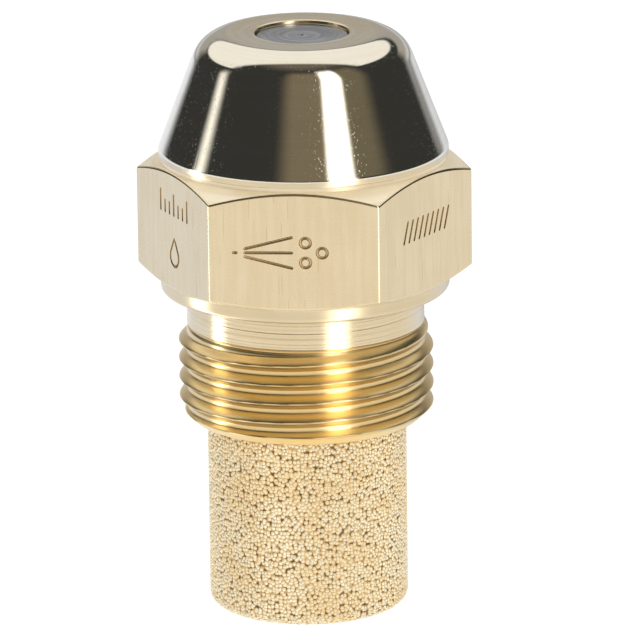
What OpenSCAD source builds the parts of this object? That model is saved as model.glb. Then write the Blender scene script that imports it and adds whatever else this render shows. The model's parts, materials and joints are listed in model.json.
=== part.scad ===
// Simplex oil burner nozzle: a screwed-in brass body with a conical head, a steel orifice disc
// and swirl cone behind the opening, a hollow retaining screw, and a sintered bronze filter cup.
// Millimetres, +Z towards the spray. The origin is the centre of the filter's closed lower end.

/* [Body] */
// Height of the whole nozzle, filter included
total_h = 32.2; // [31.8:0.1:33]
// Width of the hexagon across its flats
hex_af = 15.875; // [15.7:0.005:16]
// Height of the sealing rim above the filter's closed end
rim_z = 10.7; // [10.4:0.1:11]
// Distance from the sealing rim up to the underside of the hexagon's collar
shank_l = 7.25; // [7.1:0.05:7.4]
// Height from the collar's underside to the top of the flats
hex_l = 7.24; // [7.14:0.05:7.34]
// Height of the round collar under the hexagon
collar_h = 0.8; // [0.6:0.1:1]
// Angle of the hexagon's upper corner chamfer from level
hex_top_angle = 27.5; // [24:0.5:29]
// Angle of the hexagon's lower corner chamfer from level
hex_low_angle = 21; // [15:1:30]
// Width of the worn land along the hexagon's upright edges
edge_land = 0.16; // [0.1:0.02:0.3]

/* [Conical head] */
// Half angle of the polished cone
cone_angle = 20.8; // [20:0.1:21.5]
// Radius of the rounded shoulder between cone and top face
shoulder_r = 1.95; // [1.7:0.05:2.1]
// Radius that rounds the cone into the upright band at its foot
lip_r = 0.45; // [0.35:0.05:0.5]
// Height of that upright band
lip_band_h = 0.31; // [0.2:0.01:0.35]
// Diameter of the opening in the top face
opening_d = 5.14; // [5:0.02:5.2]
// Break of the opening's edge
opening_break = 0.08; // [0.04:0.02:0.12]

/* [Holder thread] */
// Outside diameter of the thread, 9/16 in - 24
thread_d = 14.2; // [14.1:0.02:14.28]
// Pitch of the thread, 24 turns to the inch
thread_pitch = 1.0583; // [1.05:0.0001:1.07]
// Depth of the thread
thread_depth = 0.6; // [0.5:0.02:0.65]
// Width of the land on each crest
crest_w = 0.2; // [0.14:0.02:0.26]
// Diameter of the plain neck above the thread
neck_d = 13; // [12.8:0.05:13.05]
// Radial width of the flat sealing rim
rim_w = 0.75; // [0.7:0.05:0.85]

/* [Orifice disc and swirl cone] */
// Diameter of the spray orifice
orifice_d = 0.24; // [0.2:0.02:0.3]
// Depth of the disc's face below the top face
disc_recess = 0.18; // [0.1:0.02:0.3]
// Diameter of the bore that holds the disc and the swirl cone
chamber_d = 7.2; // [7.1:0.05:7.3]
// Radial clearance between the loose parts and the body
clearance = 0.04; // [0.03:0.01:0.06]
// Number of tangential swirl slots
swirl_slots = 4; // [3:1:6]
// Width of a swirl slot
slot_w = 0.36; // [0.3:0.02:0.44]

/* [Retaining screw] */
// Outside diameter of the screw's thread
screw_d = 9; // [8.9:0.05:9.1]
// Pitch of the screw's thread
screw_pitch = 1; // [0.95:0.05:1]
// Diameter of the oil passage through the screw
passage_d = 3.2; // [2.8:0.1:3.6]
// Width of the screwdriver slot in the screw's lower end
driver_slot_w = 1; // [0.8:0.1:1.2]

/* [Filter] */
// Outside diameter of the filter cup
filter_d = 10.94; // [10.9:0.01:10.98]
// Wall of the filter cup
filter_wall = 1.5; // [1.4:0.05:1.6]
// Length of the filter cup
filter_l = 14.5; // [14.4:0.05:14.55]
// Rounding of the filter's lower edge
filter_edge_r = 0.6; // [0.4:0.1:0.8]

/* [Engraved marks] */
// Width of an engraved line
mark_w = 0.17; // [0.12:0.01:0.22]
// Depth of an engraved line
mark_depth = 0.12; // [0.08:0.01:0.18]

/* [Hidden] */
$fn = 96;
// gap that keeps two touching pieces apart, and how far shapes run into each other or past a cut
eps = 0.01;
overlap = 1;

// heights of the body, from the filter's closed end
collar_z = rim_z + shank_l;
flats_low_z = collar_z + collar_h;
flats_top_z = collar_z + hex_l;
foot_r = hex_af / 2;
corner_r = foot_r / cos(30);
// the corner is cut back until the land has the stated width
land_apothem = corner_r - edge_land / 2 / tan(60);

// conical head: a groove above the hexagon, the upright band, the arc over it, and the shoulder's arc
band_rise = 0.62;
band_step = 0.03;
band_edge = 0.05;
groove_depth = 0.14;
band_top_z = flats_top_z + band_rise;
band_low_z = band_top_z - lip_band_h;
band_r = foot_r - band_step;
groove_r = foot_r - groove_depth;
lip_centre = [band_r - lip_r, band_top_z];
cone_foot = lip_centre + lip_r * [cos(cone_angle), sin(cone_angle)];
top_corner_r = cone_foot[0] - tan(cone_angle) * (total_h - cone_foot[1]);
shoulder_centre = [top_corner_r - shoulder_r / tan(45 + cone_angle / 2), total_h - shoulder_r];

// bores of the body, from the rim upwards
filter_gap = 0.08;
filter_bore_r = filter_d / 2 + filter_gap;
filter_bore_top = filter_l + 0.1;
screw_bore_r = screw_d / 2;
screw_bore_top = flats_top_z + 0.06;
disc_nose_h = 1.6;
disc_flange_h = 1.2;
disc_top = total_h - disc_recess;
disc_seat_z = total_h - disc_nose_h;
disc_low = disc_seat_z - disc_flange_h;

// the holder thread's crests; the lowest one is cut away by the lead-in chamfer
thread_r = thread_d / 2;
root_r = thread_r - thread_depth;
rim_r = filter_bore_r + rim_w;
lead_h = thread_r - rim_r;
first_crest_rise = 1.44;
first_crest_z = rim_z + first_crest_rise;
crests = 4;
runout_z = first_crest_z + (crests - 0.5) * thread_pitch;

// swirl cone: a 45 degree cone that sits in the disc's conical recess
seat_gap = 0.02;
recess_mouth_r = 2.2;
whirl_r = 0.5;
whirl_h = 0.3;
recess_top_z = disc_low + recess_mouth_r - whirl_r;
tip_r = 0.6;
shank_r = 2.9;
flange_r = chamber_d / 2 - 0.12;
cone_low = screw_bore_top + 0.7;
flange_h = 1.7;
tip_z = recess_top_z + whirl_r - tip_r - seat_gap * sqrt(2);
passages = 6;
flange_passage_r = 0.55;

// retaining screw: threaded barrel, a boss that presses on the swirl cone, and the filter's spigot
screw_crest_r = screw_d / 2 - clearance;
screw_low = filter_l + 4.1;
screw_top = screw_bore_top - 0.9;
spigot_r = filter_d / 2 - filter_wall - 0.02;
spigot_low = rim_z - 0.2;
relief_r = spigot_r - 0.25;
relief_h = 0.8;
boss_r = 3.3;
cross_slot_w = 0.9;
cross_slot_h = 0.7;
screw_depth = 0.45;
screw_land = 0.3;
screw_crests = 6;

function arc(centre, r, from, to, steps) =
    [for (i = [0:steps]) centre + r * [cos(from + (to - from) * i / steps),
                                       sin(from + (to - from) * i / steps)]];

// outline of a thread's ridges in the r-z plane, going up: a 60 degree flank on each side of a land
function ridges(crest, root, pitch, land, first_z, count) =
    let (half = land / 2, flank = (crest - root) * tan(30))
    [for (i = [0:count - 1]) let (z = first_z + i * pitch)
        each [[root, z - half - flank], [crest, z - half], [crest, z + half], [root, z + half + flank]]];

module turned(outline) {
    rotate_extrude() polygon(outline);
}

// ---- engraved marks, drawn on a plane whose x runs along the flat and whose y runs up ----

module stroke(from, to) {
    run = to - from;
    for (end = [from, to]) translate(end) circle(d = mark_w, $fn = 24);
    translate((from + to) / 2) rotate(atan2(run[1], run[0])) square([norm(run), mark_w], center = true);
}

module ring(centre, r) {
    translate(centre) difference() {
        circle(r = r + mark_w / 2, $fn = 48);
        circle(r = r - mark_w / 2, $fn = 48);
    }
}

// a fan of spray leaving a point, with three drops in front of it
module spray_mark() {
    reach = 2.5;
    rise = 0.85;
    translate([-2.9, 0]) circle(d = 2 * mark_w, $fn = 24);
    for (side = [-1, 0, 1]) stroke([-2.35, side * 0.22], [-2.35 + reach, side * rise]);
    for (drop = [[0.9, 0.55], [0.9, -0.55], [1.8, 0]]) ring(drop, 0.27);
}

// a short graduated scale above an oil drop
module flow_mark() {
    ticks = 7;
    tick_gap = 0.55;
    drop_r = 0.52;
    for (i = [0:ticks - 1]) {
        x = (i - (ticks - 1) / 2) * tick_gap;
        stroke([x, 1.0], [x, i % 3 == 0 ? 2.1 : 1.6]);
    }
    ring([0, -1.35], drop_r);
    for (side = [-1, 1]) stroke([side * drop_r * cos(30), -1.35 + drop_r * sin(30)], [0, -1.35 + 2 * drop_r]);
}

// a row of slanted strokes
module hatch_mark() {
    for (i = [-4:4]) stroke([i * 0.5 - 0.2, -0.55], [i * 0.5 + 0.2, 0.55]);
}

// cuts a mark into the flat that faces this way, centred this far above the flats' middle
module engrave(facing, shift, rise) {
    middle_z = (flats_low_z + flats_top_z) / 2;
    rotate([0, 0, facing]) translate([shift, -foot_r + mark_depth, middle_z + rise])
        rotate([90, 0, 0]) linear_extrude(mark_depth + overlap) children();
}

// ---- the pieces ----

module head() {
    turned(concat(
        [[0, flats_top_z - overlap], [groove_r, flats_top_z - overlap], [groove_r, band_low_z],
            [band_r - band_edge, band_low_z], [band_r, band_low_z + band_edge]],
        arc(lip_centre, lip_r, 0, cone_angle, 4),
        arc(shoulder_centre, shoulder_r, cone_angle, 90, 10),
        [[0, total_h]]));
}

module hexagon() {
    rise_top = (corner_r - foot_r) * tan(hex_top_angle);
    rise_low = (corner_r - foot_r) * tan(hex_low_angle);
    intersection() {
        translate([0, 0, collar_z]) cylinder(r = corner_r, h = hex_l + 0.2, $fn = 6);
        translate([0, 0, collar_z]) rotate(30) cylinder(r = land_apothem / cos(30), h = hex_l + 0.2, $fn = 6);
        turned([[0, flats_low_z], [foot_r, flats_low_z], [corner_r, flats_low_z + rise_low],
            [corner_r, flats_top_z - rise_top], [foot_r, flats_top_z],
            [groove_r, flats_top_z + (foot_r - groove_r) * tan(hex_top_angle)], [0, flats_top_z + 0.05]]);
    }
}

module collar_and_neck() {
    collar_r = foot_r - 0.04;
    neck_r = neck_d / 2;
    edge = 0.25;
    fillet = 0.2;
    turned(concat(
        [[0, runout_z - overlap], [neck_r, runout_z - overlap]],
        arc([neck_r + fillet, collar_z - fillet], fillet, 180, 90, 4),
        arc([collar_r - edge, collar_z + edge], edge, -90, 0, 4),
        [[collar_r, flats_low_z + 0.3], [0, flats_low_z + 0.3]]));
}

module holder_thread() {
    intersection() {
        turned(concat(
            [[0, rim_z], [root_r, rim_z]],
            ridges(thread_r, root_r, thread_pitch, crest_w, first_crest_z - thread_pitch, crests + 1),
            [[root_r, runout_z + 0.1], [0, runout_z + 0.1]]));
        turned([[0, rim_z], [rim_r, rim_z], [thread_r, rim_z + lead_h],
            [thread_r, runout_z + 0.1], [0, runout_z + 0.1]]);
    }
}

module body_bores() {
    groove = 0.25;
    turned(concat(
        [[0, rim_z - overlap], [filter_bore_r, rim_z - overlap], [filter_bore_r, filter_bore_top],
            [screw_bore_r + groove, filter_bore_top], [screw_bore_r, filter_bore_top + groove]],
        [for (z = [screw_low - 2:screw_pitch:screw_top])
            each [[screw_bore_r, z - groove], [screw_bore_r + groove, z], [screw_bore_r, z + groove]]],
        [[screw_bore_r, screw_bore_top], [chamber_d / 2, screw_bore_top + screw_bore_r - chamber_d / 2],
            [chamber_d / 2, disc_seat_z], [opening_d / 2, disc_seat_z],
            [opening_d / 2, total_h - opening_break], [opening_d / 2 + opening_break, total_h],
            [opening_d / 2 + opening_break, total_h + overlap], [0, total_h + overlap]]));
}

module nozzle_body() {
    color("#d8c48f") difference() {
        union() {
            head();
            hexagon();
            collar_and_neck();
            holder_thread();
        }
        body_bores();
        engrave(0, -0.3, 0) spray_mark();
        engrave(-60, 0.2, 0) flow_mark();
        engrave(60, 0, 0.5) hatch_mark();
    }
}

module orifice_disc() {
    nose_r = opening_d / 2 - clearance;
    countersink = 0.12;
    color("#8f9399") turned([
        [orifice_d / 2, disc_top - countersink], [orifice_d / 2 + countersink, disc_top],
        [nose_r - 0.08, disc_top], [nose_r, disc_top - 0.08], [nose_r, disc_seat_z - eps],
        [chamber_d / 2 - clearance, disc_seat_z - eps], [chamber_d / 2 - clearance, disc_low],
        [recess_mouth_r, disc_low], [whirl_r, recess_top_z], [whirl_r, recess_top_z + whirl_h],
        [orifice_d / 2, recess_top_z + whirl_h]]);
}

// one tangential slot along the cone's slope; it passes beside the axis, which sets the oil turning
module swirl_slot() {
    slot_depth = 0.34;
    translate([tip_r - slot_w / 2, 0, tip_z]) rotate([0, 135, 0])
        translate([-1, -slot_w / 2, -slot_depth]) cube([5, slot_w, 1]);
}

module swirl_cone() {
    shoulder_z = tip_z - (shank_r - tip_r);
    color("#a7abb0") difference() {
        turned([[0, cone_low], [flange_r, cone_low], [flange_r, cone_low + flange_h],
            [shank_r, cone_low + flange_h], [shank_r, shoulder_z], [tip_r, tip_z], [0, tip_z]]);
        for (i = [0:swirl_slots - 1]) rotate(i * 360 / swirl_slots)
            translate([0, tip_r * 0.7, 0]) swirl_slot();
        for (i = [0:passages - 1]) rotate(i * 360 / passages)
            translate([flange_r, 0, cone_low - overlap])
                cylinder(r = flange_passage_r, h = flange_h + 2 * overlap, $fn = 32);
    }
}

module retaining_screw() {
    bevel = 0.3;
    color("#c9a65a") difference() {
        turned(concat(
            [[passage_d / 2, spigot_low], [spigot_r - bevel, spigot_low], [spigot_r, spigot_low + bevel],
                [spigot_r, screw_low - relief_h - bevel], [relief_r, screw_low - relief_h],
                [relief_r, screw_low]],
            ridges(screw_crest_r, screw_crest_r - screw_depth, screw_pitch, screw_land,
                screw_low + screw_pitch / 2, screw_crests),
            [[screw_crest_r - screw_depth, screw_top], [boss_r, screw_top], [boss_r, cone_low - eps],
                [passage_d / 2, cone_low - eps]]));
        translate([-10, -driver_slot_w / 2, spigot_low - 1]) cube([20, driver_slot_w, 2.2]);
        for (turn = [0, 90]) rotate(turn)
            translate([-10, -cross_slot_w / 2, cone_low - cross_slot_h]) cube([20, cross_slot_w, 2]);
    }
}

module sintered_filter() {
    r = filter_d / 2;
    bore_r = r - filter_wall;
    floor_h = 1.7;
    lead = 0.2;
    color("#e6cf9a") turned(concat(
        [[0, 0]],
        arc([r - filter_edge_r, filter_edge_r], filter_edge_r, -90, 0, 6),
        [[r, filter_l - lead], [r - lead, filter_l], [bore_r, filter_l], [bore_r, floor_h], [0, floor_h]]));
}

nozzle_body();
orifice_disc();
swirl_cone();
retaining_screw();
sintered_filter();
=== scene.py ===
"""Looks of the oil burner nozzle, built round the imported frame.

Shapes are worked out in millimetres and scaled to metres when a mesh is made. Z is up along the
nozzle's axis and z = 0 is the filter's closed lower end, as in the frame.
"""
import json
import math

import bpy
import numpy as np
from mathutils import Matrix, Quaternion, Vector


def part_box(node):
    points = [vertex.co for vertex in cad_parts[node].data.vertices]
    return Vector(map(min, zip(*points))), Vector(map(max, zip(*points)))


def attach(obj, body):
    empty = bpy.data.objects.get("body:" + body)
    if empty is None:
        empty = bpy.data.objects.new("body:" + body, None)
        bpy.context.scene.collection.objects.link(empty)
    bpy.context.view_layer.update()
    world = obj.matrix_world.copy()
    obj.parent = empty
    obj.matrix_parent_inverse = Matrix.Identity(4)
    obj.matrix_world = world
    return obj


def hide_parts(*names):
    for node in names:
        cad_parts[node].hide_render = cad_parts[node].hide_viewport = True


MM = 0.001
UM = 1e-6
SEED = 7

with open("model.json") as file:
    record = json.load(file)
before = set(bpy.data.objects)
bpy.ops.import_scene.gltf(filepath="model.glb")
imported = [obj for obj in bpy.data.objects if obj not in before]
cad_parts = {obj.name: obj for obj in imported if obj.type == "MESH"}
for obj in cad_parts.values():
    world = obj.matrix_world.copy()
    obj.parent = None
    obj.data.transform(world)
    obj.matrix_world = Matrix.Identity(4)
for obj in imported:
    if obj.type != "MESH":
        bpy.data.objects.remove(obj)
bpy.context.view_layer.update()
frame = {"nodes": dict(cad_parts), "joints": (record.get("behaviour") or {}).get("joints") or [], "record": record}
MOUNTS = {mount["name"]: mount for mount in frame["record"]["mounts"]}
BODY_LOW, BODY_HIGH = (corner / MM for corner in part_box("nozzle_body"))
DISC_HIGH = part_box("orifice_disc")[1] / MM
FILTER_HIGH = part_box("sintered_filter")[1] / MM

# ---- sizes in millimetres and angles in radians, worked out from the frame ----
TOTAL_H = BODY_HIGH.z
FOOT_R = BODY_HIGH.y
RIM_Z = BODY_LOW.z
COLLAR_Z = RIM_Z + 7.25
FLATS_LOW_Z = COLLAR_Z + 0.8
FLATS_TOP_Z = COLLAR_Z + 7.24
BAND_R = FOOT_R - 0.03
BAND_TOP_Z = FLATS_TOP_Z + 0.62
BAND_LOW_Z = BAND_TOP_Z - 0.31
HEX_TOP_ANGLE = math.radians(27.5)
HEX_LOW_ANGLE = math.radians(21)
CONE_ANGLE = math.radians(20.8)
SHOULDER_R = 1.95
LIP_R = 0.45
OPENING_R = 2.57
THREAD_R = MOUNTS["holder_thread"]["dims"]["r_mm"]
THREAD_DEPTH = 0.6
THREAD_ROOT_R = THREAD_R - THREAD_DEPTH
THREAD_PITCH = 1.0583
THREAD_TOP_Z = COLLAR_Z - 1.9
NECK_R = THREAD_ROOT_R
COLLAR_R = FOOT_R - 0.04
FILTER_R = FILTER_HIGH.x
FILTER_L = FILTER_HIGH.z
FILTER_WALL = 1.5
FILTER_FLOOR = 1.7
FILTER_BORE_R = FILTER_R + 0.08
RIM_R = FILTER_BORE_R + 0.75
SCREW_BORE_R = 4.5
SCREW_BORE_TOP_Z = FLATS_TOP_Z + 0.06
SCREW_PITCH = 1.0
CHAMBER_R = DISC_HIGH.x + 0.04
DISC_SEAT_Z = TOTAL_H - 1.6


# ---- meshes ----

def arc(centre, radius, start, end, steps):
    """Points of an arc in the r-z plane, from one angle to another in degrees."""
    angles = np.radians(np.linspace(start, end, steps + 1))
    return [(centre[0] + radius * math.cos(a), centre[1] + radius * math.sin(a)) for a in angles]


def between(start, end, shares):
    """Points at these shares of the way from one point to another."""
    return [(start[0] + (end[0] - start[0]) * s, start[1] + (end[1] - start[1]) * s) for s in shares]


def line(start, end, steps):
    """Points of a straight run, with its first point left out."""
    return between(start, end, np.linspace(0, 1, steps + 1)[1:])


def make_object(name, points, faces, materials, sharp_angle, face_slots=None):
    """A mesh object in metres from points in millimetres. Edges sharper than the angle stay sharp."""
    mesh = bpy.data.meshes.new(name)
    mesh.from_pydata((points * MM).tolist(), [], faces)
    for material in materials:
        mesh.materials.append(material)
    if face_slots is not None:
        mesh.polygons.foreach_set("material_index", face_slots)
    mesh.shade_smooth()
    mesh.set_sharp_from_angle(angle=math.radians(sharp_angle))
    mesh.validate()
    made = bpy.data.objects.new(name, mesh)
    bpy.context.scene.collection.objects.link(made)
    return made


def loop_faces(rows, columns):
    """Quads over a grid that closes on itself both round the axis and along the outline."""
    faces = []
    for i in range(rows):
        below = (i + 1) % rows
        for j in range(columns):
            k = (j + 1) % columns
            faces.append((i * columns + j, below * columns + j, below * columns + k, i * columns + k))
    return faces


# ---- the body: a section is a list of pairs, a material zone and its (radius, height) points ----

BODY_SHARP_ANGLE = 38


def hexagon_columns():
    """The angle of each column round the axis, and the distance of the rounded hexagon there."""
    edge_r = 0.2
    edge_centre = (FOOT_R - edge_r) / math.cos(math.radians(30))
    half_flat = (FOOT_R - edge_r) * math.tan(math.radians(30))
    angles, distances = [], []
    for side in range(6):
        facing = math.radians(-90 + 60 * side)
        for x in np.linspace(-half_flat, half_flat, 27):
            angles.append(facing + math.atan2(x, FOOT_R))
            distances.append(math.hypot(x, FOOT_R))
        corner = facing + math.radians(30)
        for turn in np.radians([-18, -6, 6, 18]):
            x = edge_centre + edge_r * math.cos(turn)
            y = edge_r * math.sin(turn)
            angles.append(corner + math.atan2(y, x))
            distances.append(math.hypot(x, y))
    return np.array(angles), np.array(distances)


def smooth_min(a, b, softness):
    """The smaller of two values, with a soft change from one to the other."""
    return (a + b - np.sqrt((a - b) ** 2 + softness ** 2)) / 2


def helix_ridge(angles, z, depth, pitch, crest_z, fade_z, fade_l):
    """How far a right-hand thread with rounded crests stands out from its root at a height.

    A crest stands at crest_z on the -X side. Crests fade out to nothing over fade_l below fade_z.
    """
    half_ridge = 0.39
    crest_softness, root_softness = 0.55, 0.1
    turn = (angles - math.pi) / (2 * math.pi)
    phase = (z - crest_z) / pitch - turn
    offset = phase - np.round(phase)
    flank = depth * math.tan(math.radians(30)) / pitch
    ridge = smooth_min((half_ridge - np.abs(offset)) / flank, 1.0, crest_softness)
    ridge = -smooth_min(-ridge, 0.0, root_softness)
    own_crest_z = z - offset * pitch
    return depth * ridge * np.clip((fade_z - own_crest_z) / fade_l, 0, 1)


def head_section():
    """The opening, the top face, the shoulder, the polished cone and the band under it."""
    break_r = 0.08
    band_edge = 0.05
    cone_turn = math.degrees(CONE_ANGLE)
    lip = (BAND_R - LIP_R, BAND_TOP_Z)
    foot = (lip[0] + LIP_R * math.cos(CONE_ANGLE), lip[1] + LIP_R * math.sin(CONE_ANGLE))
    corner_r = foot[0] - math.tan(CONE_ANGLE) * (TOTAL_H - foot[1])
    turn_r = corner_r - SHOULDER_R / math.tan(math.radians(45) + CONE_ANGLE / 2)
    shoulder = arc((turn_r, TOTAL_H - SHOULDER_R), SHOULDER_R, 90, cone_turn, 26)
    return [
        ("bore", [(OPENING_R, DISC_SEAT_Z)]),
        ("opening", line((OPENING_R, DISC_SEAT_Z), (OPENING_R, TOTAL_H - break_r), 6)),
        ("opening", arc((OPENING_R + break_r, TOTAL_H - break_r), break_r, 180, 90, 3)[1:]),
        ("top", line((OPENING_R + break_r, TOTAL_H), (turn_r, TOTAL_H), 6)),
        ("cone", shoulder[1:]),
        ("cone", line(shoulder[-1], foot, 18)),
        ("cone", arc(lip, LIP_R, cone_turn, 0, 5)[1:]),
        ("lip", line((BAND_R, BAND_TOP_Z), (BAND_R, BAND_LOW_Z + band_edge), 3)),
        ("lip", arc((BAND_R - band_edge, BAND_LOW_Z + band_edge), band_edge, 0, -90, 4)[1:]),
    ]


def hexagon_section(hexagon_r):
    """The hexagon's conical chamfers, its rounded upper and lower edges and its flats.

    The radii and heights here are arrays, because they follow the hexagon round the axis.
    """
    groove_r = FOOT_R - 0.14
    start_r = groove_r + 0.01
    start_z = FLATS_TOP_Z + (FOOT_R - start_r) * math.tan(HEX_TOP_ANGLE)
    top_edge, low_edge = 0.16, 0.06
    top_r = hexagon_r - top_edge
    low_r = hexagon_r - low_edge
    top_rise = (top_edge + math.sin(HEX_TOP_ANGLE) * (top_r - FOOT_R)) / math.cos(HEX_TOP_ANGLE)
    low_rise = (low_edge + math.sin(HEX_LOW_ANGLE) * (low_r - FOOT_R)) / math.cos(HEX_LOW_ANGLE)
    top_z = FLATS_TOP_Z - top_rise
    low_z = FLATS_LOW_Z + low_rise
    top_round = arc((top_r, top_z), top_edge, 90 - math.degrees(HEX_TOP_ANGLE), 0, 7)
    low_round = arc((low_r, low_z), low_edge, 0, -90 + math.degrees(HEX_LOW_ANGLE), 4)
    # the flats stop just short of their edges, so that the two are shaded apart
    flat_shares = (0.01, 0.12, 0.25, 0.4, 0.55, 0.7, 0.85, 0.99)
    return [
        ("chamfer", [(groove_r, BAND_LOW_Z), (groove_r, start_z + 0.02), (start_r, start_z)]),
        ("chamfer", between((start_r, start_z), top_round[0], (0.25, 0.5, 0.75, 0.97))),
        ("edge", top_round),
        ("flats", between((hexagon_r, top_z), (hexagon_r, low_z), flat_shares)),
        ("edge", low_round),
        ("chamfer", between(low_round[-1], (COLLAR_R + 0.015, FLATS_LOW_Z - 0.02), (0.3, 0.6, 0.97))),
    ]


def neck_section():
    """The collar, its underside, and the neck with its turning marks and one scored line."""
    edge, fillet = 0.25, 0.2
    collar_top_z = FLATS_LOW_Z - 0.1
    mark_step, mark_depth = 0.04, 0.007
    scored_z, scored_depth = COLLAR_Z - 0.9, 0.012
    marks = np.random.default_rng(SEED)
    neck = []
    for z in np.arange(COLLAR_Z - 0.24, THREAD_TOP_Z, -mark_step):
        scored = scored_depth if abs(z - scored_z) < 0.03 else 0.0
        neck.append((NECK_R - scored + marks.uniform(-mark_depth, mark_depth), z))
    return [
        ("collar", [(COLLAR_R, FLATS_LOW_Z - 0.04), (COLLAR_R, collar_top_z)]),
        ("collar", line((COLLAR_R, collar_top_z), (COLLAR_R, COLLAR_Z + edge), 4)),
        ("collar", arc((COLLAR_R - edge, COLLAR_Z + edge), edge, 0, -90, 6)[1:]),
        ("neck", line((COLLAR_R - edge, COLLAR_Z), (NECK_R + fillet, COLLAR_Z), 4)),
        ("neck", arc((NECK_R + fillet, COLLAR_Z - fillet), fillet, 90, 180, 5)[1:]),
        ("neck", neck),
    ]


def thread_section(angles):
    """The holder thread, with a fine undercut where it runs out, cut back by its lead-in chamfer."""
    crest_z = RIM_Z + 3.29
    run_out_z, run_out_l = THREAD_TOP_Z - 0.2, 0.6
    undercut_z, undercut_depth, undercut_width = THREAD_TOP_Z - 0.12, 0.09, 0.1
    lead_in_slope = 1.05
    rim_top_z = RIM_Z + 0.45
    section = []
    for z in np.linspace(THREAD_TOP_Z, RIM_Z + 0.06, 150):
        ridge = helix_ridge(angles, z, THREAD_DEPTH, THREAD_PITCH, crest_z, run_out_z, run_out_l)
        undercut = undercut_depth * math.exp(-((z - undercut_z) / undercut_width) ** 2)
        lead_in_r = RIM_R + (z - RIM_Z) * lead_in_slope
        r = smooth_min(THREAD_ROOT_R + ridge - undercut, lead_in_r, 0.04)
        section.append(("thread" if z > rim_top_z else "rim", [(r, z)]))
    return section


def bore_section(angles):
    """The sealing rim, the bores of the filter and the screw, and the chamber of the disc and cone."""
    filter_bore_top_z = FILTER_L + 0.1
    groove_depth = 0.25
    groove_r = SCREW_BORE_R + groove_depth
    chamber_low_z = SCREW_BORE_TOP_Z + SCREW_BORE_R - CHAMBER_R
    crest_z = SCREW_BORE_TOP_Z + 0.25
    # the ridges' fade height lies above the bore, so none of them fades
    fade_z, fade_l = TOTAL_H, 1.0
    grooves = []
    for z in np.linspace(filter_bore_top_z + groove_depth, SCREW_BORE_TOP_Z - 0.65, 80):
        ridge = helix_ridge(angles, z, groove_depth, SCREW_PITCH, crest_z, fade_z, fade_l)
        grooves.append((groove_r - ridge, z))
    return [
        ("rim", [(RIM_R - 0.02, RIM_Z)]),
        ("rim", line((RIM_R - 0.02, RIM_Z), (FILTER_BORE_R + 0.06, RIM_Z), 3)),
        ("bore", line((FILTER_BORE_R, RIM_Z + 0.06), (FILTER_BORE_R, filter_bore_top_z), 12)),
        ("bore", line((FILTER_BORE_R, filter_bore_top_z), (groove_r, filter_bore_top_z), 2)),
        ("bore", grooves),
        ("bore", [(SCREW_BORE_R, SCREW_BORE_TOP_Z - 0.35), (SCREW_BORE_R, SCREW_BORE_TOP_Z)]),
        ("bore", line((SCREW_BORE_R, SCREW_BORE_TOP_Z), (CHAMBER_R, chamber_low_z), 3)),
        ("bore", line((CHAMBER_R, chamber_low_z), (CHAMBER_R, DISC_SEAT_Z), 8)),
        ("bore", line((CHAMBER_R, DISC_SEAT_Z), (OPENING_R, DISC_SEAT_Z), 3)[:-1]),
    ]


def build_body(materials):
    """The body as one closed mesh: its outline from the opening down the outside and up the bore."""
    angles, hexagon_r = hexagon_columns()
    sections = head_section() + hexagon_section(hexagon_r) + neck_section()
    sections += thread_section(angles) + bore_section(angles)
    ones = np.ones_like(angles)
    zones = [zone for zone, points in sections for _ in points]
    r = np.array([r * ones for _, points in sections for r, _ in points])
    z = np.array([z * ones for _, points in sections for _, z in points])
    points = np.stack([r * np.cos(angles), r * np.sin(angles), z], axis=2).reshape(-1, 3)
    # a face belongs to the zone of the row that it leads to
    names = list(materials)
    slots = [names.index(zone) for zone in zones[1:] + zones[:1]]
    face_slots = np.repeat(slots, len(angles)).astype(np.int32)
    faces = loop_faces(len(zones), len(angles))
    finishes = list(materials.values())
    return make_object("nozzle_body_finish", points, faces, finishes, BODY_SHARP_ANGLE, face_slots)


# ---- engraved marks: cutters laid on a flat, x along it and y up it ----

MARK_R = 0.09
MARK_SINK = 0.03


def tube(path, closed=False, steps=12):
    """Points and faces of a round rod along a path in a flat's plane. An open path gets round ends."""
    path = np.array([(x, y, 0.0) for x, y in path])
    if closed:
        along = np.roll(path, -1, axis=0) - np.roll(path, 1, axis=0)
        rings = [(p, MARK_R, d) for p, d in zip(path, along)]
    else:
        run = path[-1] - path[0]
        unit = run / np.linalg.norm(run)
        rings = []
        for turn in np.radians((-80, -50, -25, 0)):
            rings.append((path[0] + unit * MARK_R * math.sin(turn), MARK_R * math.cos(turn), run))
        for turn in np.radians((0, 25, 50, 80)):
            rings.append((path[-1] + unit * MARK_R * math.sin(turn), MARK_R * math.cos(turn), run))
    points = []
    for centre, radius, direction in rings:
        side = np.array([-direction[1], direction[0], 0.0]) / np.linalg.norm(direction)
        for a in np.linspace(0, 2 * math.pi, steps, endpoint=False):
            points.append(centre + radius * (side * math.cos(a) + np.array([0.0, 0.0, math.sin(a)])))
    faces = []
    for i in range(len(rings) if closed else len(rings) - 1):
        ahead = (i + 1) % len(rings)
        for j in range(steps):
            k = (j + 1) % steps
            faces.append((i * steps + j, i * steps + k, ahead * steps + k, ahead * steps + j))
    if not closed:
        faces.append(tuple(range(steps))[::-1])
        last = (len(rings) - 1) * steps
        faces.append(tuple(range(last, last + steps)))
    return np.array(points), faces


def ring(centre, radius):
    return tube(arc(centre, radius, 0, 360, 40)[:-1], closed=True)


def spray_mark():
    """A fan of spray leaving a point, with three drops in front of it."""
    shapes = [tube([(-2.97, 0), (-2.83, 0)])]
    for side in (-1, 0, 1):
        shapes.append(tube([(-2.35, side * 0.22), (0.15, side * 0.85)]))
    for drop in ((0.9, 0.55), (0.9, -0.55), (1.8, 0)):
        shapes.append(ring(drop, 0.27))
    return shapes


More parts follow.
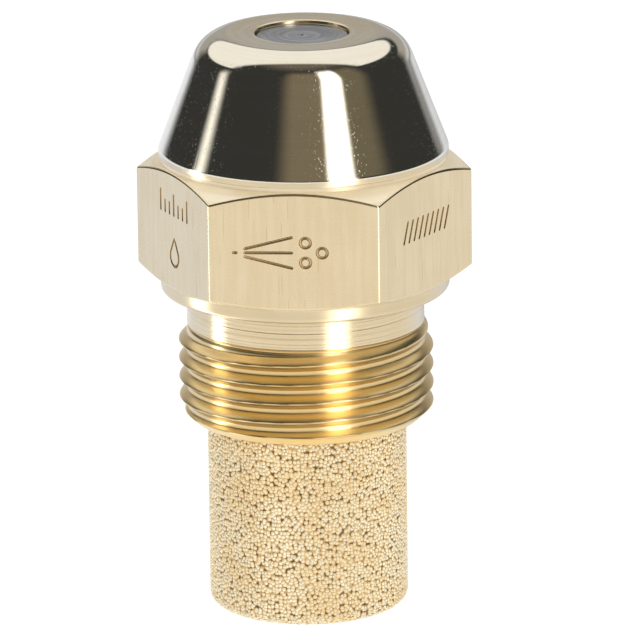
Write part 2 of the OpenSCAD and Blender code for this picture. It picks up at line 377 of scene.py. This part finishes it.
def flow_mark():
    """A short graduated scale above an oil drop."""
    shapes = []
    for i in range(7):
        x = (i - 3) * 0.55
        shapes.append(tube([(x, 1.0), (x, 2.1 if i % 3 == 0 else 1.6)]))
    drop_r, drop_y = 0.52, -1.35
    outline = arc((0, drop_y), drop_r, 150, 390, 30)
    tip = (0.0, drop_y + 2 * drop_r)
    outline = outline + line(outline[-1], tip, 5) + line(tip, outline[0], 5)[:-1]
    shapes.append(tube(outline, closed=True))
    return shapes


def hatch_mark():
    """A row of slanted strokes."""
    return [tube([(i * 0.5 - 0.2, -0.55), (i * 0.5 + 0.2, 0.55)]) for i in range(-4, 5)]


def mark_cutter(material):
    """One mesh object that holds the cutters of all three marks, standing in their flats."""
    points, faces = [], []
    middle_z = (FLATS_LOW_Z + FLATS_TOP_Z) / 2
    marks = (
        # shapes, degrees round from the front flat, shift along the flat, rise above its middle
        (spray_mark(), 0, -0.3, 0),
        (flow_mark(), -60, 0.2, 0),
        (hatch_mark(), 60, 0, 0.5),
    )
    for shapes, facing, shift, rise in marks:
        a = math.radians(facing)
        along = np.array([math.cos(a), math.sin(a), 0])
        outward = np.array([math.sin(a), -math.cos(a), 0])
        up = np.array([0, 0, 1])
        centre = outward * (FOOT_R - MARK_SINK) + along * shift + up * (middle_z + rise)
        for shape, shape_faces in shapes:
            first = len(points)
            points.extend(centre + x * along + y * up + z * outward for x, y, z in shape)
            faces.extend(tuple(first + v for v in face) for face in shape_faces)
    return make_object("mark_cutter", np.array(points), faces, [material], 60)


def engrave(body, cutter):
    """Cuts the marks out of the body and removes the cutter."""
    cut = body.modifiers.new("marks", "BOOLEAN")
    cut.operation = "DIFFERENCE"
    cut.object = cutter
    cut.solver = "MANIFOLD"
    cut.material_mode = "TRANSFER"
    bpy.context.view_layer.objects.active = body
    bpy.ops.object.modifier_apply(modifier=cut.name)
    bpy.data.objects.remove(cutter)
    body.data.shade_smooth()
    body.data.set_sharp_from_angle(angle=math.radians(BODY_SHARP_ANGLE))


# ---- the sintered filter ----

FILTER_CAP_R = 0.1


def filter_outline():
    """Rows of (radius, height, outward r, outward z) down the filter's outside and under its end."""
    edge_r = 0.6
    step = 0.066
    rows = []
    # the part inside the body has only a few rows and is a little thinner
    for z in np.linspace(FILTER_L - 0.2, RIM_Z + 0.4, 8):
        rows.append((FILTER_R - 0.03, z, 1.0, 0.0))
    for z in np.arange(RIM_Z + 0.35, edge_r, -step):
        rows.append((FILTER_R, z, 1.0, 0.0))
    for a in np.radians(np.linspace(0, -90, 14)):
        out_r, out_z = math.cos(a), math.sin(a)
        rows.append((FILTER_R - edge_r + edge_r * out_r, edge_r + edge_r * out_z, out_r, out_z))
    for r in np.linspace(FILTER_R - edge_r - 0.1, FILTER_CAP_R, 14):
        rows.append((r, 0.0, 0.0, -1.0))
    return np.array(rows)


def build_filter(material):
    """The cup as one closed mesh whose outside carries the grains."""
    columns = 480
    chamfer = 0.05
    outside = filter_outline()
    bore_r = FILTER_R - FILTER_WALL
    inside = [
        (FILTER_CAP_R, FILTER_FLOOR),
        (2.0, FILTER_FLOOR),
        (bore_r - 0.02, FILTER_FLOOR),
        (bore_r, FILTER_FLOOR + 0.1),
        (bore_r, FILTER_FLOOR + 6.3),
        (bore_r, FILTER_L - chamfer),
        (bore_r + chamfer, FILTER_L),
        (FILTER_R - 0.25, FILTER_L),
    ]
    plain = [(r, z, 0.0, 0.0) for r, z in inside]
    r, z, out_r, out_z = np.vstack([outside, plain]).T[:, :, None]
    turn = 2 * np.pi * np.arange(columns) / columns
    points = np.stack(np.broadcast_arrays(r * np.cos(turn), r * np.sin(turn), z), axis=2).reshape(-1, 3)
    outward = np.stack(np.broadcast_arrays(out_r * np.cos(turn), out_r * np.sin(turn), out_z), axis=2)
    # the grid closes round the axis and over the rim, and two round faces close the floor's middle
    seam = len(outside) - 1
    faces = loop_faces(len(r), columns)
    del faces[seam * columns:(seam + 1) * columns]
    faces.append(tuple(range(seam * columns, (seam + 1) * columns))[::-1])
    faces.append(tuple(range((seam + 1) * columns, (seam + 2) * columns)))
    made = make_object("sintered_filter_finish", points, faces, [material], 80)
    for name, values in (("rest_mm", points), ("outward", outward)):
        stored = made.data.attributes.new(name, "FLOAT_VECTOR", "POINT")
        stored.data.foreach_set("vector", values.reshape(-1).astype(np.float32))
    press_grains(made)
    return made


def grain_pattern(graph, place):
    """Distance from the nearest grain's centre, and a seam value that rises to one between two grains.

    The place is in millimetres on the filter's outside. Distances are shares of the grains' spacing.
    """
    spacing = 0.215
    radius, angle, z = graph.polar(place)
    round_axis = graph.times(angle, FILTER_R)
    along = graph.plus(z, radius)
    # one pattern is wrapped round the side and another lies flat under the closed end
    on_side = graph.step(z, 0.1, 0.3)
    on_end = graph.math("SUBTRACT", 1.0, on_side)
    side_sheet = graph.join(round_axis, along, 0.0)
    values = []
    for feature in ("F1", "DISTANCE_TO_EDGE"):
        under = graph.voronoi(place, spacing, feature)
        side = graph.voronoi(side_sheet, spacing, feature)
        values.append(graph.plus(graph.times(side, on_side), graph.times(under, on_end)))
    centre_gap, edge_gap = values
    return centre_gap, graph.step(edge_gap, 0.01, 0.13, 1.0, 0.0)


def press_grains(made):
    """Sinks the filter's outside between the grains and applies that to the mesh."""
    depth = 0.1
    group = bpy.data.node_groups.new("grains", "GeometryNodeTree")
    group.interface.new_socket("Geometry", in_out="INPUT", socket_type="NodeSocketGeometry")
    group.interface.new_socket("Geometry", in_out="OUTPUT", socket_type="NodeSocketGeometry")
    graph = Graph(group)
    rest, outward = (graph.stored_vector(name) for name in ("rest_mm", "outward"))
    centre_gap, _ = grain_pattern(graph, rest)
    sink = graph.step(centre_gap, 0.15, 0.75, 0.0, -depth * MM)
    given = graph.add("NodeGroupInput").outputs[0]
    offset = graph.scaled(outward, sink)
    moved = graph.add("GeometryNodeSetPosition", {"Geometry": given, "Offset": offset})
    graph.send("NodeGroupOutput", moved.outputs[0])
    modifier = made.modifiers.new("grains", "NODES")
    modifier.node_group = group
    bpy.context.view_layer.objects.active = made
    bpy.ops.object.modifier_apply(modifier=modifier.name)


# ---- node graphs ----

class Graph:
    """Short calls that add nodes to a node tree, or to that of a material or world.

    An input is a socket or a plain value.
    """

    def __init__(self, owner):
        if isinstance(owner, bpy.types.NodeTree):
            self.tree = owner
        else:
            owner.use_nodes = True
            self.tree = owner.node_tree
        self.tree.nodes.clear()

    def add(self, kind, inputs=None, **settings):
        made = self.tree.nodes.new(kind)
        for key, value in settings.items():
            setattr(made, key, value)
        for key, value in (inputs or {}).items():
            self.put(made.inputs[key], value)
        return made

    def put(self, socket, value):
        if isinstance(value, bpy.types.NodeSocket):
            self.tree.links.new(value, socket)
        else:
            socket.default_value = value

    def send(self, kind, result):
        """Adds the tree's output node and sends the result to it."""
        self.put(self.add(kind).inputs[0], result)

    def math(self, operation, a, b=0.0, c=0.0):
        return self.add("ShaderNodeMath", {0: a, 1: b, 2: c}, operation=operation).outputs[0]

    def times(self, a, b):
        return self.math("MULTIPLY", a, b)

    def plus(self, a, b):
        return self.math("ADD", a, b)

    def step(self, value, low, high, out_low=0.0, out_high=1.0):
        """Smooth change from one output to the other as the value goes from low to high."""
        made = self.add("ShaderNodeMapRange", {0: value, 1: low, 2: high, 3: out_low, 4: out_high},
                        interpolation_type="SMOOTHSTEP")
        return made.outputs[0]

    def window(self, value, low, high, soft):
        """One between low and high, fading to nought over the soft width on both sides of each."""
        rise = self.step(value, low - soft, low + soft)
        fall = self.step(value, high - soft, high + soft, 1.0, 0.0)
        return self.times(rise, fall)

    def mix(self, share, a, b):
        made = self.add("ShaderNodeMix", data_type="RGBA")
        self.put(made.inputs[0], share)
        self.put(made.inputs[6], a)
        self.put(made.inputs[7], b)
        return made.outputs[2]

    def noise(self, vector, scale, detail):
        made = self.add("ShaderNodeTexNoise", {"Vector": vector, "Scale": scale, "Detail": detail})
        return made.outputs["Fac"]

    def voronoi(self, vector, spacing, feature):
        """Voronoi pattern with slightly irregular cells, over the vector's x and y."""
        made = self.add("ShaderNodeTexVoronoi", {"Vector": vector, "Scale": 1 / spacing, "Randomness": 0.8},
                        voronoi_dimensions="2D", feature=feature)
        return made.outputs["Distance"]

    def stored_vector(self, name):
        """A vector attribute of the mesh, in a geometry tree."""
        made = self.add("GeometryNodeInputNamedAttribute", {"Name": name}, data_type="FLOAT_VECTOR")
        return made.outputs[0]

    def scaled(self, vector, factor):
        return self.add("ShaderNodeVectorMath", {0: vector, 3: factor}, operation="SCALE").outputs[0]

    def split(self, vector):
        made = self.add("ShaderNodeSeparateXYZ", {0: vector})
        return made.outputs[0], made.outputs[1], made.outputs[2]

    def join(self, x, y, z):
        return self.add("ShaderNodeCombineXYZ", {0: x, 1: y, 2: z}).outputs[0]

    def polar(self, place):
        """Distance from the z axis, angle round it, and height."""
        x, y, z = self.split(place)
        radius = self.math("SQRT", self.plus(self.times(x, x), self.times(y, y)))
        return radius, self.math("ARCTAN2", y, x), z

    def bump(self, height):
        """A surface raised by a height in metres."""
        return self.add("ShaderNodeBump", {"Strength": 1.0, "Distance": 1.0, "Height": height})

    def principled(self, shade, metallic, roughness, surface):
        made = self.add("ShaderNodeBsdfPrincipled", {"Base Color": shade, "Metallic": metallic})
        self.put(made.inputs["Roughness"], roughness)
        self.put(made.inputs["Normal"], surface.outputs[0])
        return made


def colour(red, green, blue):
    return (red, green, blue, 1.0)


# ---- materials: places are in millimetres, so a noise scale is in features a millimetre ----

BRASS_POLISHED = colour(0.87, 0.81, 0.67)
BRASS = colour(0.86, 0.72, 0.48)
BRASS_DULL = colour(0.81, 0.66, 0.42)
BRASS_GOLD = colour(0.88, 0.67, 0.34)
BRASS_DEEP = colour(0.52, 0.33, 0.10)
STEEL = colour(0.52, 0.54, 0.57)
STEEL_DARK = colour(0.30, 0.31, 0.33)
# the filter's grains are near white at their centres, a painted highlight, and tan towards their edges
BRONZE_HIGHLIGHT = colour(1.0, 0.96, 0.76)
BRONZE_TAN = colour(0.98, 0.71, 0.34)
BRONZE_WARM = colour(1.0, 0.72, 0.34)
# painted shade: the brown between the grains and the deep brown in the pits where they leave room
BRONZE_GAP_SHADE = colour(0.46, 0.27, 0.10)
BRONZE_PIT_SHADE = colour(0.16, 0.08, 0.02)


def brushed_places(graph, in_mm, squeeze):
    """Places whose height is squeezed, so that a pattern over them is drawn out up and down."""
    x, y, z = graph.split(in_mm)
    return graph.join(x, y, graph.times(z, squeeze))


def metal(name, light, dark, roughness, lines=None, line_depth=0.0, pit_depth=0.0, stretch=0.0, bevel=0.0,
          metallic=1.0):
    """Metal whose colour, roughness and surface vary from place to place.

    lines is 'turned' for marks round the axis or 'brushed' for marks along it. Depths are in metres and
    bevel, the width of a softened edge, is in millimetres. stretch widens highlights up and down.
    """
    material = bpy.data.materials.new(name)
    graph = Graph(material)
    place = graph.add("ShaderNodeTexCoord").outputs["Object"]
    in_mm = graph.scaled(place, 1 / MM)
    radius, angle, z = graph.polar(place)
    wear = graph.step(graph.noise(in_mm, 0.35, 3.0), 0.3, 0.75)
    speck = graph.math("SUBTRACT", graph.noise(in_mm, 9.0, 2.0), 0.5)
    rough = graph.plus(roughness, graph.times(speck, roughness * 0.15))
    pits = graph.step(graph.noise(in_mm, 10.0, 1.0), 0.68, 0.76)
    height = graph.times(pits, -pit_depth)

    if lines == "turned":
        marked = graph.join(graph.times(radius, 1 / MM), graph.times(angle, 0.12), graph.times(z, 1 / MM))
        mark_scale = 6.0
    if lines == "brushed":
        marked = brushed_places(graph, in_mm, 0.06)
        mark_scale = 3.5
    if lines:
        streaks = graph.step(graph.noise(marked, 3.0, 2.0), 0.35, 0.65)
        wear = graph.plus(graph.times(wear, 0.6), graph.times(streaks, 0.7))
        height = graph.plus(height, graph.times(graph.noise(marked, mark_scale, 1.0), line_depth))
    shade = graph.mix(wear, light, dark)
    if lines == "brushed":
        hairs = graph.noise(brushed_places(graph, in_mm, 0.045), 11.0, 0.0)
        hairlines = graph.step(hairs, 0.74, 0.82)
        shade = graph.mix(graph.times(hairlines, 0.3), shade, BRASS_DEEP)
    if pit_depth:
        long_places = graph.join(graph.times(angle, 40.0), 0.0, graph.times(z, 0.25 / MM))
        scratches = graph.step(graph.noise(long_places, 1.0, 1.0), 0.70, 0.76)
        height = graph.plus(height, graph.times(scratches, -0.3 * pit_depth))

    surface = graph.bump(height)
    if bevel:
        softened = graph.add("ShaderNodeBevel", {"Radius": bevel * MM}, samples=4)
        graph.put(surface.inputs["Normal"], softened.outputs[0])
    shader = graph.principled(shade, metallic, rough, surface)
    if stretch:
        round_axis = graph.add("ShaderNodeTangent", direction_type="RADIAL", axis="Z")
        graph.put(shader.inputs["Anisotropic"], stretch)
        graph.put(shader.inputs["Anisotropic Rotation"], 0.25)
        graph.put(shader.inputs["Tangent"], round_axis.outputs[0])
    graph.send("ShaderNodeOutputMaterial", shader.outputs[0])
    return material


def sintered_bronze():
    """Grains with a painted highlight at their centres fading to tan, painted shade in the brown gaps between
    them, and here and there deeper pits of painted shade.
    """
    material = bpy.data.materials.new("sintered_bronze")
    graph = Graph(material)
    rest = graph.add("ShaderNodeAttribute", attribute_name="rest_mm").outputs["Vector"]
    centre_gap, seam = grain_pattern(graph, rest)
    tint = graph.step(graph.noise(rest, 0.5, 3.0), 0.42, 0.66)
    each = graph.step(graph.noise(rest, 4.5, 0.0), 0.35, 0.65)
    # painted shade in the seams between grains, darker in some places than others
    gap_shade = graph.times(seam, graph.math("MULTIPLY_ADD", each, 0.6, 0.3))
    # painted shade in the deeper pits that lie farthest from any grain's centre
    pit_shade = graph.times(graph.step(centre_gap, 0.50, 0.64), graph.math("MULTIPLY_ADD", each, 0.7, 0.3))
    # painted highlight: each grain is near white at its centre and tan towards its edge
    shade = graph.mix(graph.step(centre_gap, 0.1, 0.6), BRONZE_HIGHLIGHT, BRONZE_TAN)
    shade = graph.mix(graph.times(tint, 0.5), shade, BRONZE_WARM)
    shade = graph.mix(gap_shade, shade, BRONZE_GAP_SHADE)
    shade = graph.mix(pit_shade, shade, BRONZE_PIT_SHADE)
    rough = graph.plus(0.22, graph.times(graph.noise(rest, 12.0, 1.0), 0.16))
    surface = graph.bump(graph.step(centre_gap, 0.0, 0.7, 0.0, -0.05 * MM))
    shader = graph.principled(shade, 0.25, rough, surface)
    graph.send("ShaderNodeOutputMaterial", shader.outputs[0])
    return material


def body_materials():
    """Each machined zone of the body with its finish, with a painted sheen on the chamfers and painted shade in
    the marks.
    """
    cone_dark = colour(0.84, 0.77, 0.62)
    lip_light = colour(0.70, 0.59, 0.41)
    # the chamfers are paler than the other brass: partly their turned finish, partly a painted sheen that lightens
    # them where the cone's lip shades them
    chamfer_painted_sheen = colour(0.95, 0.84, 0.63)
    thread_light = colour(0.93, 0.68, 0.30)
    rim_light, rim_dark = colour(1.0, 0.72, 0.28), colour(1.0, 0.77, 0.38)
    # the engraved marks' brass is darker than the body's, painted shade in their grooves
    mark_shade_pale, mark_shade_deep = colour(0.50, 0.38, 0.22), colour(0.62, 0.46, 0.24)
    return {
        "bore": metal("brass_bore", BRASS_GOLD, BRASS_DEEP, 0.3, "turned", 6 * UM),
        "opening": metal("brass_opening", BRASS_GOLD, BRASS, 0.22, "turned", 2 * UM),
        "top": metal("brass_top", BRASS_POLISHED, BRASS, 0.2, "turned", 2 * UM),
        "cone": metal("brass_polished", BRASS_POLISHED, cone_dark, 0.07, "turned", 0.2 * UM, 2.0 * UM),
        "lip": metal("brass_lip", lip_light, BRASS_DULL, 0.2, "turned", 1 * UM),
        # a paler, partly matt chamfer: a painted sheen, lit by the plain white that matt surfaces see
        "chamfer": metal("brass_turned_painted_sheen", chamfer_painted_sheen, BRASS, 0.3, "turned", 1 * UM, stretch=0.6,
                         metallic=0.3),
        "collar": metal("brass_collar", BRASS, BRASS_DULL, 0.3, "turned", 2 * UM, stretch=0.6),
        "edge": metal("brass_edge", BRASS, BRASS_DULL, 0.16, "turned", 1 * UM),
        "flats": metal("brass_flats", BRASS, BRASS_DULL, 0.27, "brushed", 0.8 * UM),
        "neck": metal("brass_neck", BRASS, BRASS_DULL, 0.24, "turned", 3 * UM, stretch=0.7),
        "thread": metal("brass_thread", thread_light, BRASS_GOLD, 0.3, "turned", 1 * UM, stretch=0.7),
        "rim": metal("brass_rim", rim_light, rim_dark, 0.3, "turned", 1 * UM, metallic=0.5),
        # darker brass in the cut marks: painted shade
        "mark": metal("brass_mark_painted_shade", mark_shade_pale, mark_shade_deep, 0.3),
    }


# ---- the studio: what the polished brass reflects, with angles in degrees ----

WHITE = colour(1.0, 1.0, 1.0)
DARK = colour(0.038, 0.040, 0.041)
WALL_LOW = colour(0.6, 0.62, 0.66)
WALL_HIGH = colour(0.4, 0.39, 0.38)
SWEEP = (
    # azimuth, and the colour that comes up from the floor there
    (-180, (0.60, 0.62, 0.66)),
    (-140, (0.84, 0.90, 1.04)),
    (-100, (0.90, 0.96, 1.10)),
    (-60, (1.04, 1.03, 1.01)),
    (50, (1.02, 1.01, 1.00)),
    (115, (0.94, 0.95, 0.96)),
    (140, (0.84, 0.90, 1.04)),
    (180, (0.60, 0.62, 0.66)),
)
PATCHES = (
    # colour, strength, azimuth low and high, elevation low and high, softness of each
    (colour(0.21, 0.176, 0.127), 1.0, -14, 30, 8, 52, 9, 9),
    (colour(0.17, 0.150, 0.108), 1.0, 40, 74, 14, 55, 9, 9),
    (colour(0.16, 0.14, 0.115), 1.0, -200, 200, 66, 90, 1, 12),
    (WHITE, 3.0, 25, 45, -60, 52, 4, 10),
    (WHITE, 6.0, -95, -86, -60, -2, 3, 6),
    (WHITE, 2.0, -91, -83, -2, 18, 5, 14),
)


def build_world():
    """A studio: a softbox behind and overhead, a dark room in front, and narrow strips at the sides."""
    world = bpy.data.worlds.new("studio")
    bpy.context.scene.world = world
    graph = Graph(world)
    direction = graph.add("ShaderNodeTexCoord").outputs["Generated"]
    x, y, z = graph.split(direction)
    azimuth = graph.times(graph.math("ARCTAN2", x, graph.times(y, -1.0)), 180 / math.pi)
    elevation = graph.times(graph.math("ARCSINE", z), 180 / math.pi)

    # the sweep below the horizon and the dark room above it
    below = WHITE
    for (start, _), (end, tint) in zip(SWEEP[:-1], SWEEP[1:]):
        below = graph.mix(graph.step(azimuth, start, end), below, colour(*tint))
    light = graph.mix(graph.step(elevation, -5, 1, 1.0, 0.0), DARK, below)
    for tint, strength, az_low, az_high, el_low, el_high, soft, soft_up in PATCHES:
        across = graph.window(azimuth, az_low, az_high, soft)
        up = graph.window(elevation, el_low, el_high, soft_up)
        bright = colour(*(c * strength for c in tint[:3]))
        light = graph.mix(graph.times(across, up), light, bright)

    # the softbox fills the rear directions above a slanted edge
    edge = graph.math("MULTIPLY_ADD", x, 0.116, graph.math("MULTIPLY_ADD", y, -0.295, 0.657))
    over_edge = graph.step(graph.math("SUBTRACT", z, edge), -0.02, 0.02)
    light = graph.mix(graph.times(over_edge, graph.step(y, -0.1, 0.02)), light, WHITE)

    # a grey wall low down at the back
    wall = graph.mix(graph.step(elevation, 4, 10), WALL_LOW, WALL_HIGH)
    at_back = graph.step(graph.math("ABSOLUTE", azimuth), 132, 150)
    light = graph.mix(graph.times(at_back, graph.window(elevation, 0, 20, 2)), light, wall)

    # the camera and matt surfaces see plain white
    path = graph.add("ShaderNodeLightPath")
    light = graph.mix(path.outputs["Is Diffuse Ray"], light, WHITE)
    light = graph.mix(path.outputs["Is Camera Ray"], light, WHITE)
    background = graph.add("ShaderNodeBackground", {"Color": light, "Strength": 1.0})
    graph.send("ShaderNodeOutputWorld", background.outputs[0])


def build_floor(height):
    """A plain, pale, large floor at a height in metres. It doesn't show in reflections."""
    half = 3.0
    corners = [(x, y, height) for x, y in ((-half, -half), (half, -half), (half, half), (-half, half))]
    mesh = bpy.data.meshes.new("floor")
    mesh.from_pydata(corners, [], [(0, 1, 2, 3)])
    floor = bpy.data.objects.new("floor", mesh)
    bpy.context.scene.collection.objects.link(floor)
    material = bpy.data.materials.new("floor_paper")
    graph = Graph(material)
    shader = graph.add("ShaderNodeBsdfPrincipled", {
        "Base Color": colour(0.9, 0.89, 0.87),
        "Roughness": 0.8,
        "Emission Color": WHITE,
        "Emission Strength": 0.2,
    })
    graph.send("ShaderNodeOutputMaterial", shader.outputs[0])
    mesh.materials.append(material)
    floor.visible_glossy = False


def build_camera():
    """A long lens a little above the front flat and to its right, rolled so that the nozzle leans left."""
    data = bpy.data.cameras.new("camera")
    data.lens = 427.0
    data.sensor_width = 36.0
    data.clip_start = 0.01
    data.clip_end = 20.0
    camera = bpy.data.objects.new("camera", data)
    bpy.context.scene.collection.objects.link(camera)
    distance = 0.4157
    azimuth, elevation, roll = math.radians(3.97), math.radians(16.16), math.radians(-0.73)
    back = Vector((math.sin(azimuth) * math.cos(elevation), -math.cos(azimuth) * math.cos(elevation),
                   math.sin(elevation)))
    facing = (-back).to_track_quat("-Z", "Y") @ Quaternion((0, 0, 1), roll)
    target = Vector((0, 0, 0.016))
    # the nozzle stands a little off the picture's middle
    shift = facing @ Vector((0.781 * MM, -0.0624 * MM, 0))
    camera.location = target + shift + back * distance
    camera.rotation_mode = "QUATERNION"
    camera.rotation_quaternion = facing
    bpy.context.scene.camera = camera


# ---- the scene ----

def lowest_reach():
    """How far the lowest piece travels down at the joints' limits, in metres."""
    ranges = {joint["name"]: joint.get("range_m") for joint in frame["joints"]}
    return ranges["cone_drop"][1] + ranges["filter_pull"][1]


def main():
    materials = body_materials()
    mark_shade_material = materials.pop("mark")
    body = build_body(materials)
    engrave(body, mark_cutter(mark_shade_material))
    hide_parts("nozzle_body")
    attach(body, "housing")

    filter_cup = build_filter(sintered_bronze())
    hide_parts("sintered_filter")
    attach(filter_cup, "filter")

    finishes = {
        "orifice_disc": metal("lapped_steel", STEEL, STEEL_DARK, 0.25, "turned", 0.3 * UM, bevel=0.03),
        "swirl_cone": metal("ground_steel", STEEL, STEEL_DARK, 0.2, "turned", 2 * UM, bevel=0.03),
        "retaining_screw": metal("machined_brass", BRASS_GOLD, BRASS_DULL, 0.24, "turned", 3 * UM,
                                 bevel=0.04),
    }
    for node, finish in finishes.items():
        frame["nodes"][node].data.materials.clear()
        frame["nodes"][node].data.materials.append(finish)

    build_floor(-lowest_reach())
    build_world()
    build_camera()
    bpy.context.scene.view_settings.view_transform = "Standard"


main()
